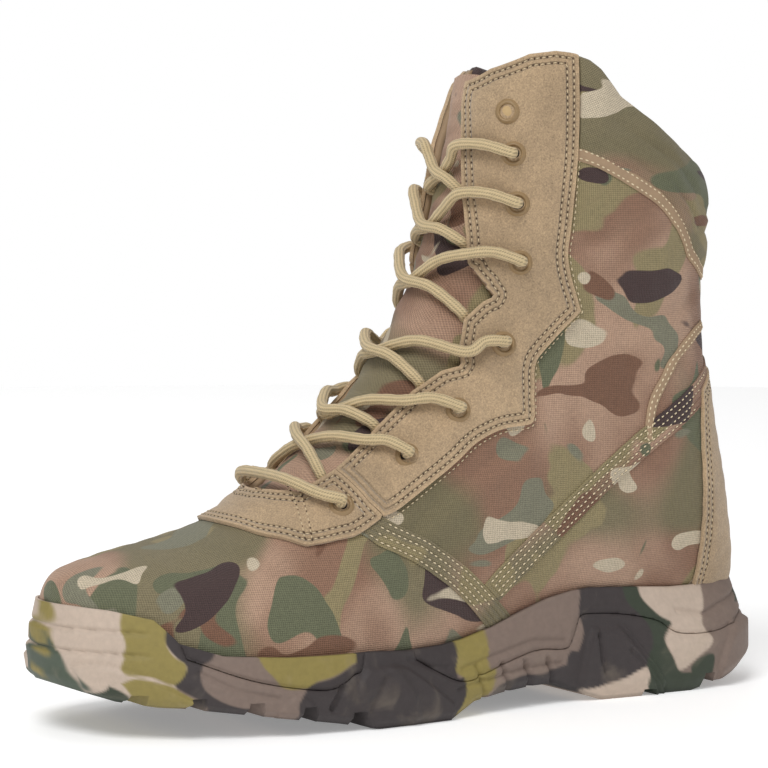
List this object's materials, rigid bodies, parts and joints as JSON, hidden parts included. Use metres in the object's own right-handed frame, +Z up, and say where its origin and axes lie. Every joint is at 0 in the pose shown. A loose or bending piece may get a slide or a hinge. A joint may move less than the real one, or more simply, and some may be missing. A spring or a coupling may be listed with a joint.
{
  "type": "hunting boot",
  "caption": "Tall laced field boot with a hollow cloth upper, suede overlays, a padded collar, round laces through ring eyelets and a lugged rubber sole with a raised heel.",
  "frame": {"origin": "On the floor, in the middle of the boot's bounding box in plan.", "axes": "+X runs from the heel to the toe, +Y to the outer side of the left foot, +Z up. The boot stands on its sole."},
  "size_m": [0.2986, 0.1106, 0.242],
  "materials": {
    "outsole_rubber": "moulded, matte, in several earth tones",
    "midsole_foam": "moulded foam, matte",
    "insole_fabric": "cloth-topped footbed",
    "upper_cloth": null,
    "suede": "tan suede with stitched edges",
    "eyelet_paint": "satin tan",
    "lace_cord": "round braided cord"
  },
  "bodies": {
    "root": {"outsole": "outsole_rubber", "midsole": "midsole_foam", "insole": "insole_fabric", "upper": "upper_cloth", "tongue": "upper_cloth", "collar": "upper_cloth", "facing_outer": "suede", "facing_inner": "suede", "vamp_saddle": "suede", "backstay": "suede", "eyelet_outer_1": "eyelet_paint", "eyelet_outer_2": "eyelet_paint", "eyelet_outer_3": "eyelet_paint", "eyelet_outer_4": "eyelet_paint", "eyelet_outer_5": "eyelet_paint", "eyelet_outer_6": "eyelet_paint", "eyelet_outer_7": "eyelet_paint", "eyelet_outer_8": "eyelet_paint", "eyelet_inner_1": "eyelet_paint", "eyelet_inner_2": "eyelet_paint", "eyelet_inner_3": "eyelet_paint", "eyelet_inner_4": "eyelet_paint", "eyelet_inner_5": "eyelet_paint", "eyelet_inner_6": "eyelet_paint", "eyelet_inner_7": "eyelet_paint", "eyelet_inner_8": "eyelet_paint", "lace_bar": "lace_cord", "lace_crossing_1": "lace_cord", "lace_crossing_2": "lace_cord", "lace_crossing_3": "lace_cord", "lace_crossing_4": "lace_cord", "lace_crossing_5": "lace_cord", "lace_crossing_6": "lace_cord"}
  },
  "joints": []
}
